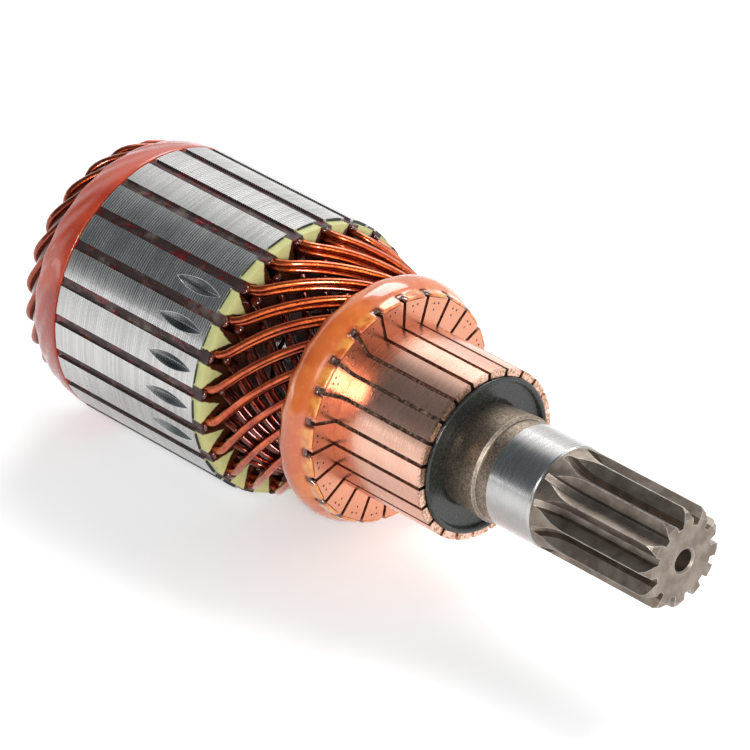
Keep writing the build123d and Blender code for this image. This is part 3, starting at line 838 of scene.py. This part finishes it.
# %% Varnish band
BAND_PROFILE = np.array([
    (-100.94, 25.9), (-100.94, 26.4), (-101.0, 26.75), (-101.4, 26.86), (-102.4, 26.84), (-103.8, 26.66),
    (-105.2, 26.40), (-106.4, 26.08), (-107.3, 25.76), (-107.9, 25.42), (-108.05, 25.15), (-107.6, 25.05),
    (-105.6, 25.3), (-103.6, 25.6), (-101.8, 25.85),
])
BAND_STEPS = 14
WAVE_HEIGHT, WAVE_PLACES = 0.09, (-101.5, -106.5)
outline = closed_profile(BAND_PROFILE)
x, radius, angle = carried_round(outline[:, 0], outline[:, 1], full_turn(BAND_STEPS))
slant = (COIL_SPAN / 2 - KNUCKLE_HALF) / (EXIT_REAR - KNUCKLE)
wave = np.cos(np.radians((angle - SLOT_PHASE - (EXIT_REAR - x) * slant) * SLOTS))
radius = radius + WAVE_HEIGHT * wave * step(x, *WAVE_PLACES)
band = surface("varnish_band", [around(x, radius, angle)], wrap_rows=True, wrap_columns=True, flip=True)
finish_piece(band, red_varnish, ["rear_band"])

# %% [markdown]
# ## Varnish between the rear end turns
#
# Dipping fills the spaces between the end turns with dark varnish, so only the wires' backs stand
# out, like strands of a rope. One more closed ring, set a little below the wires' crowns, does it.

# %% Varnish between the end turns
FILL_PROFILE = np.array([
    (-101.2, 25.3), (-103.5, 24.95), (-106.0, 24.6), (-108.5, 24.2), (-110.6, 23.75), (-111.7, 23.0),
    (-112.0, 21.8), (-111.8, 20.4), (-110.8, 19.6), (-108.0, 19.8), (-104.5, 20.2), (-101.2, 20.6),
])
FILL_STEPS = 8
outline = closed_profile(FILL_PROFILE)
x, radius, angle = carried_round(outline[:, 0], outline[:, 1], full_turn(FILL_STEPS))
fill = surface("end_turn_varnish", [around(x, radius, angle)], wrap_rows=True, wrap_columns=True, flip=True)
finish_piece(fill, wet_varnish)

# %% [markdown]
# ## Commutator hub
#
# The moulded hub shows only at its front, as a dished ring with a rounded lip. It stays one closed
# turning, so its whole section is listed once and carried round.

# %% Commutator hub
HUB_SECTION = np.array([
    (-45.54, 8.55), (-45.54, 11.98), (-30.0, 11.98), (-18.24, 11.98), (-15.27, 14.95), (-15.15, 15.08),
    (-14.95, 15.08), (-14.78, 15.02), (-14.64, 14.85), (-14.60, 14.60), (-14.66, 14.35), (-14.85, 14.15),
    (-15.20, 14.02), (-15.60, 13.95), (-15.82, 13.75), (-15.89, 13.3), (-15.89, 11.0), (-15.89, 8.55),
    (-30.0, 8.55),
])
HUB_STEPS = 8
x, radius, angle = carried_round(HUB_SECTION[:, 0], HUB_SECTION[:, 1], full_turn(HUB_STEPS))
hub = surface("moulded_hub", [around(x, radius, angle)], wrap_rows=True, wrap_columns=True)
finish_piece(hub, black_moulding, ["commutator_hub"])

# %% [markdown]
# ## Varnish at the slot mouths
#
# Where the wires leave the stack, varnish gathered into a dark, wet blob. Each is a rounded form:
# a unit sphere's points, stretched, with a slow ripple, turned to its slot. They take the light in
# small white points, which is most of what the eye sees of them.

# %% Varnish blobs
POLE = 1.45
PARALLELS, MERIDIANS = 9, 14
BLOB_SIZE, BLOB_SPREAD = np.array([1.0, 0.62, 1.0]), (0.85, 1.15)
UPPER_PLACE, UPPER_RADIUS = -61.7, 25.7
LOWER_PLACE, LOWER_RADIUS, LOWER_GROWTH = -61.1, 21.9, 1.05
RIPPLE, LARGEST_SHIFT = 0.14, 6


def blob(centre_x, centre_radius, angle, size, random):
    """Rounded lump: latitude and longitude give a sphere, its radius rippled by two slow waves and
    stretched by the three sizes along the shaft, outwards and sideways."""
    longitudes = np.arange(MERIDIANS) * 2 * np.pi / MERIDIANS
    latitude, longitude = np.meshgrid(np.linspace(-POLE, POLE, PARALLELS), longitudes, indexing="ij")
    shift = random.uniform(0, LARGEST_SHIFT)
    ripple = 1 + RIPPLE * np.sin(2 * longitude + shift) * np.cos(latitude)
    x = centre_x + np.cos(latitude) * np.cos(longitude) * ripple * size[0]
    outward = centre_radius + np.cos(latitude) * np.sin(longitude) * ripple * size[1]
    sideways = np.sin(latitude) * size[2]
    turn = np.radians(angle)
    y = outward * np.cos(turn) - sideways * np.sin(turn)
    z = outward * np.sin(turn) + sideways * np.cos(turn)
    return np.stack([x, y, z], axis=-1)


random = np.random.default_rng(7)
blobs = []
for number in range(SLOTS):
    angle = SLOT_PHASE + number * PITCH
    size = BLOB_SIZE * random.uniform(*BLOB_SPREAD)
    blobs.append(blob(UPPER_PLACE, UPPER_RADIUS, angle, size, random))
    blobs.append(blob(LOWER_PLACE, LOWER_RADIUS, angle, size * LOWER_GROWTH, random))
droplets = surface("slot_mouth_varnish", blobs, wrap_columns=True, caps=True)
finish_piece(droplets, wet_varnish)

# %% [markdown]
# ## White floor
#
# The part lies on plain white paper. The paper is a little lighter to the camera, and to what
# metal and varnish mirror, than the lamps alone make it, so it meets the backdrop without an edge.
# It still takes the part's shadow.

# %% White floor
FLOOR = -27.0 * MM
FLOOR_HALF = 3.0
EXTRA_LIGHT = 0.32
floor_corners = [(side_x * FLOOR_HALF, side_y * FLOOR_HALF, FLOOR)
                 for side_x, side_y in ((-1, -1), (1, -1), (1, 1), (-1, 1))]
floor_mesh = bpy.data.meshes.new("floor")
floor_mesh.from_pydata(floor_corners, [], [(0, 1, 2, 3)])
floor = bpy.data.objects.new("floor", floor_mesh)
bpy.context.scene.collection.objects.link(floor)
WHITE = (1.0, 1.0, 1.0, 1.0)
paper, tree, shader, place = new_material("white paper floor")
grain = noise(tree, place, 40.0, 3.0)
join(tree, Base_Color=blend(tree, grain, (0.86, 0.86, 0.86, 1.0), (0.90, 0.90, 0.90, 1.0)))
shader.inputs["Roughness"].default_value = 0.9
shader.inputs["Specular IOR Level"].default_value = 0.1
shader.inputs["Emission Color"].default_value = WHITE
ray = put(tree, "LightPath").outputs
mirrored = maths(tree, "MAXIMUM", ray["Is Glossy Ray"], ray["Is Transmission Ray"])
seen = maths(tree, "MAXIMUM", ray["Is Camera Ray"], mirrored)
tree.links.new(both(tree, seen, EXTRA_LIGHT), shader.inputs["Emission Strength"])
floor.data.materials.append(paper)
print("floor at", FLOOR)

# %% [markdown]
# ## Backdrop
#
# The world is white behind and below the part and dim on the side that the facing surfaces
# mirror, like a white cove in a darker room, so that steel shows a dark band between two light
# ones, as in the photograph. The room's axis is square to the shaft. Behind the part it is plain
# white, both for the camera and for what metal and varnish mirror.

# %% Backdrop
ROOM_AXIS = (0.0, -0.615, 0.788)
ROOM_EDGE, ROOM_FULL = 0.42, 0.60
SOFT_WHITE = (0.84, 0.83, 0.82, 1.0)
DIM_ROOM = (0.115, 0.132, 0.142, 1.0)
world = bpy.data.worlds.new("studio")
bpy.context.scene.world = world
world.use_nodes = True
tree = world.node_tree
tree.nodes.clear()
direction = put(tree, "TexCoord").outputs["Generated"]
room = put(tree, "VectorMath", {0: direction, 1: ROOM_AXIS}, operation="DOT_PRODUCT").outputs["Value"]
dim = ramp(tree, room, ROOM_EDGE, ROOM_FULL)
ray = put(tree, "LightPath").outputs
mirrored = maths(tree, "MAXIMUM", ray["Is Glossy Ray"], ray["Is Transmission Ray"])
backdrop = blend(tree, mirrored, SOFT_WHITE, WHITE)
around_part = blend(tree, dim, backdrop, DIM_ROOM)
background = put(tree, "Background", {"Color": blend(tree, ray["Is Camera Ray"], around_part, WHITE)})
leave = put(tree, "OutputWorld")
tree.links.new(background.outputs[0], leave.inputs["Surface"])
print(world.name)

# %% [markdown]
# ## Lamps
#
# Three soft, rectangular lamps light the part: one high behind it, a narrow one beside the camera,
# whose image is the bright spot on the copper, and a weak one low at the left.

# %% Lamps
MIDDLE = (-0.045, 0.0, 0.0)


def soft_lamp(name, place, width, height, power):
    """Rectangular lamp at a place in metres, facing the part's middle."""
    data = bpy.data.lights.new(name, "AREA")
    data.shape = "RECTANGLE"
    data.size, data.size_y, data.energy = width, height, power
    lamp = bpy.data.objects.new(name, data)
    lamp.location = place
    lamp.rotation_euler = (Vector(MIDDLE) - Vector(place)).to_track_quat("-Z", "Y").to_euler()
    bpy.context.scene.collection.objects.link(lamp)


soft_lamp("lamp_high_behind", (-0.25, 0.75, 0.95), 0.9, 0.6, 11.0)
soft_lamp("lamp_by_camera", (0.72, -0.66, 0.48), 0.16, 0.34, 9.0)
soft_lamp("lamp_low_left", (-0.80, -0.70, 0.10), 0.5, 0.10, 0.4)
print("lamps:", [light.name for light in bpy.data.lights])
